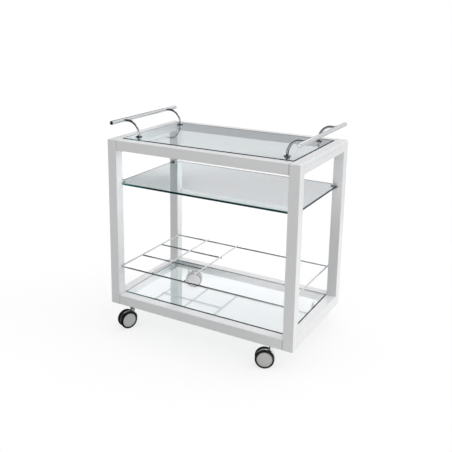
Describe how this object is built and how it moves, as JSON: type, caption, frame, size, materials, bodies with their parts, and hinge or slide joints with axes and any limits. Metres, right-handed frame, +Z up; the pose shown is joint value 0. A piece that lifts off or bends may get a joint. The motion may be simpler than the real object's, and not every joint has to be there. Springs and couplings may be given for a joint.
{
  "type": "bar cart",
  "caption": "Bar cart with a white square-tube frame, glass top with tube handles, glass shelf in clips, chrome bottle rack over a glass base, and swivel casters.",
  "frame": {"origin": "on the floor under the middle of the cart", "axes": "+X along the cart's length to its right end, -Y out of the front, +Z up"},
  "size_m": [0.8, 0.5664, 0.8445],
  "materials": {
    "white_lacquer": "gloss white lacquer",
    "white_plastic": "satin moulded plastic",
    "clear_glass": "clear float glass, green at its edges",
    "chrome": "bright chrome plate",
    "dark_nickel": "dark nickel plate",
    "zinc_steel": "zinc plated",
    "clear_silicone": "soft clear silicone",
    "caster_silver": "silver coated moulding",
    "wheel_grey": "satin grey moulding",
    "tyre_black": "smooth soft tread"
  },
  "bodies": {
    "cart": {"front_left_post": "white_lacquer", "rear_left_post": "white_lacquer", "front_right_post": "white_lacquer", "rear_right_post": "white_lacquer", "front_top_rail": "white_lacquer", "front_bottom_rail": "white_lacquer", "rear_top_rail": "white_lacquer", "rear_bottom_rail": "white_lacquer", "left_top_end_rail": "white_lacquer", "left_top_end_cap": "white_lacquer", "left_bottom_end_rail": "white_lacquer", "right_top_end_rail": "white_lacquer", "right_top_end_cap": "white_lacquer", "right_bottom_end_rail": "white_lacquer", "post_plugs": "white_plastic", "rail_spigots": "zinc_steel", "spigot_bolts": "zinc_steel", "rail_set_screws": "zinc_steel", "top_glass": "clear_glass", "middle_glass_shelf": "clear_glass", "bottom_glass": "clear_glass", "top_glass_ledges": "white_lacquer", "bottom_glass_ledges": "white_lacquer", "glass_pads": "clear_silicone", "shelf_clips": "chrome", "shelf_clip_screws": "zinc_steel", "left_handle_bar": "chrome", "right_handle_bar": "chrome", "handle_stems": "chrome", "handle_end_plugs": "chrome", "handle_flanges": "dark_nickel", "handle_nuts": "chrome", "rack_long_rods": "chrome", "rack_cross_rods": "chrome", "caster_kingpins": "zinc_steel", "caster_nuts": "zinc_steel"},
    "front_left_caster": {"front_left_caster_hood": "caster_silver", "front_left_caster_axle": "zinc_steel"},
    "front_left_caster_right_wheel_body": {"front_left_caster_right_wheel": "wheel_grey", "front_left_caster_right_tyre": "tyre_black"},
    "front_left_caster_left_wheel_body": {"front_left_caster_left_wheel": "wheel_grey", "front_left_caster_left_tyre": "tyre_black"},
    "front_right_caster": {"front_right_caster_hood": "caster_silver", "front_right_caster_axle": "zinc_steel"},
    "front_right_caster_right_wheel_body": {"front_right_caster_right_wheel": "wheel_grey", "front_right_caster_right_tyre": "tyre_black"},
    "front_right_caster_left_wheel_body": {"front_right_caster_left_wheel": "wheel_grey", "front_right_caster_left_tyre": "tyre_black"},
    "rear_left_caster": {"rear_left_caster_hood": "caster_silver", "rear_left_caster_axle": "zinc_steel"},
    "rear_left_caster_right_wheel_body": {"rear_left_caster_right_wheel": "wheel_grey", "rear_left_caster_right_tyre": "tyre_black"},
    "rear_left_caster_left_wheel_body": {"rear_left_caster_left_wheel": "wheel_grey", "rear_left_caster_left_tyre": "tyre_black"},
    "rear_right_caster": {"rear_right_caster_hood": "caster_silver", "rear_right_caster_axle": "zinc_steel"},
    "rear_right_caster_right_wheel_body": {"rear_right_caster_right_wheel": "wheel_grey", "rear_right_caster_right_tyre": "tyre_black"},
    "rear_right_caster_left_wheel_body": {"rear_right_caster_left_wheel": "wheel_grey", "rear_right_caster_left_tyre": "tyre_black"}
  },
  "joints": [
    {"name": "front_left_caster_swivel", "type": "hinge", "parent": "cart", "child": "front_left_caster", "pos_m": [-0.31, -0.222, 0.088], "axis": [0, 0, 1], "continuous": true},
    {"name": "front_left_caster_right_wheel_spin", "type": "hinge", "parent": "front_left_caster", "child": "front_left_caster_right_wheel_body", "pos_m": [-0.32033, -0.24366, 0.036], "axis": [0.9026, -0.4305, 0], "continuous": true},
    {"name": "front_left_caster_left_wheel_spin", "type": "hinge", "parent": "front_left_caster", "child": "front_left_caster_left_wheel_body", "pos_m": [-0.32033, -0.24366, 0.036], "axis": [0.9026, -0.4305, 0], "continuous": true},
    {"name": "front_right_caster_swivel", "type": "hinge", "parent": "cart", "child": "front_right_caster", "pos_m": [0.31, -0.222, 0.088], "axis": [0, 0, 1], "continuous": true},
    {"name": "front_right_caster_right_wheel_spin", "type": "hinge", "parent": "front_right_caster", "child": "front_right_caster_right_wheel_body", "pos_m": [0.28825, -0.23214, 0.036], "axis": [0.4226, -0.9063, 0], "continuous": true},
    {"name": "front_right_caster_left_wheel_spin", "type": "hinge", "parent": "front_right_caster", "child": "front_right_caster_left_wheel_body", "pos_m": [0.28825, -0.23214, 0.036], "axis": [0.4226, -0.9063, 0], "continuous": true},
    {"name": "rear_left_caster_swivel", "type": "hinge", "parent": "cart", "child": "rear_left_caster", "pos_m": [-0.31, 0.222, 0.088], "axis": [0, 0, 1], "continuous": true},
    {"name": "rear_left_caster_right_wheel_spin", "type": "hinge", "parent": "rear_left_caster", "child": "rear_left_caster_right_wheel_body", "pos_m": [-0.28825, 0.23214, 0.036], "axis": [-0.4226, 0.9063, 0], "continuous": true},
    {"name": "rear_left_caster_left_wheel_spin", "type": "hinge", "parent": "rear_left_caster", "child": "rear_left_caster_left_wheel_body", "pos_m": [-0.28825, 0.23214, 0.036], "axis": [-0.4226, 0.9063, 0], "continuous": true},
    {"name": "rear_right_caster_swivel", "type": "hinge", "parent": "cart", "child": "rear_right_caster", "pos_m": [0.31, 0.222, 0.088], "axis": [0, 0, 1], "continuous": true},
    {"name": "rear_right_caster_right_wheel_spin", "type": "hinge", "parent": "rear_right_caster", "child": "rear_right_caster_right_wheel_body", "pos_m": [0.32033, 0.24366, 0.036], "axis": [-0.9026, 0.4305, 0], "continuous": true},
    {"name": "rear_right_caster_left_wheel_spin", "type": "hinge", "parent": "rear_right_caster", "child": "rear_right_caster_left_wheel_body", "pos_m": [0.32033, 0.24366, 0.036], "axis": [-0.9026, 0.4305, 0], "continuous": true}
  ]
}
